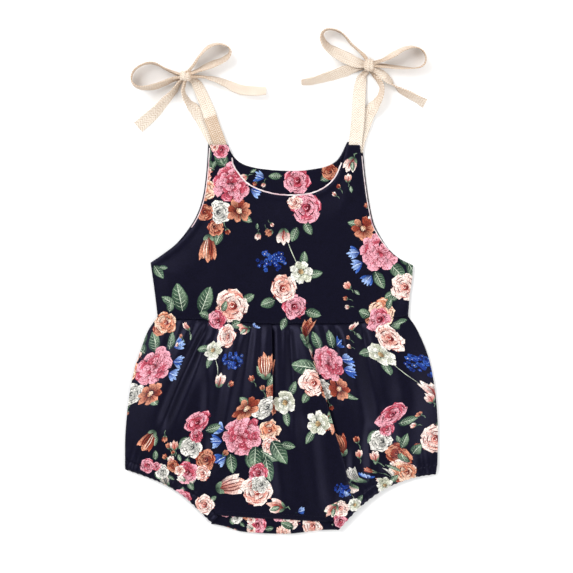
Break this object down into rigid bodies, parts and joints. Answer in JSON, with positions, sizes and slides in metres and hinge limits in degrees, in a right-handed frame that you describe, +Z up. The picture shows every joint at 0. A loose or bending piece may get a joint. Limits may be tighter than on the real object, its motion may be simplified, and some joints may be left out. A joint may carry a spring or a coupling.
{
  "type": "baby romper",
  "caption": "Sleeveless baby romper with a gathered bloomer, elastic leg edges and tape shoulder straps tied in bows, laid flat.",
  "frame": {"origin": "middle of the footprint, on the surface that the romper lies on", "axes": "+Z up off the surface, +Y from the crotch towards the bows, +X to the right of the front as it is seen from above"},
  "size_m": [0.2876, 0.4645, 0.0187],
  "materials": {
    "navy_print": "printed cotton, matte with a soft sheen",
    "navy_inside": "printed cotton, matte",
    "cream_tape": "herringbone cotton tape, matte",
    "pale_reverse": "reverse of the print, matte"
  },
  "bodies": {
    "root": {"back_bodice": "navy_inside", "back_bloomer": "navy_inside", "crotch_flap": "navy_print", "front_bodice": "navy_print", "front_bloomer": "navy_print", "casing_front_left": "navy_print", "casing_front_right": "navy_print", "casing_back_left": "navy_inside", "casing_back_right": "navy_inside", "neck_facing": "pale_reverse", "armhole_facing_left": "pale_reverse", "armhole_facing_right": "pale_reverse", "bow_knot_left": "cream_tape", "bow_left_loop_left": "cream_tape", "bow_left_loop_right": "cream_tape", "bow_left_tail_left": "cream_tape", "bow_left_tail_right": "cream_tape", "strap_front_left": "cream_tape", "strap_back_left": "cream_tape", "bow_knot_right": "cream_tape", "bow_right_loop_left": "cream_tape", "bow_right_loop_right": "cream_tape", "bow_right_tail_left": "cream_tape", "bow_right_tail_right": "cream_tape", "strap_front_right": "cream_tape", "strap_back_right": "cream_tape"}
  },
  "joints": []
}
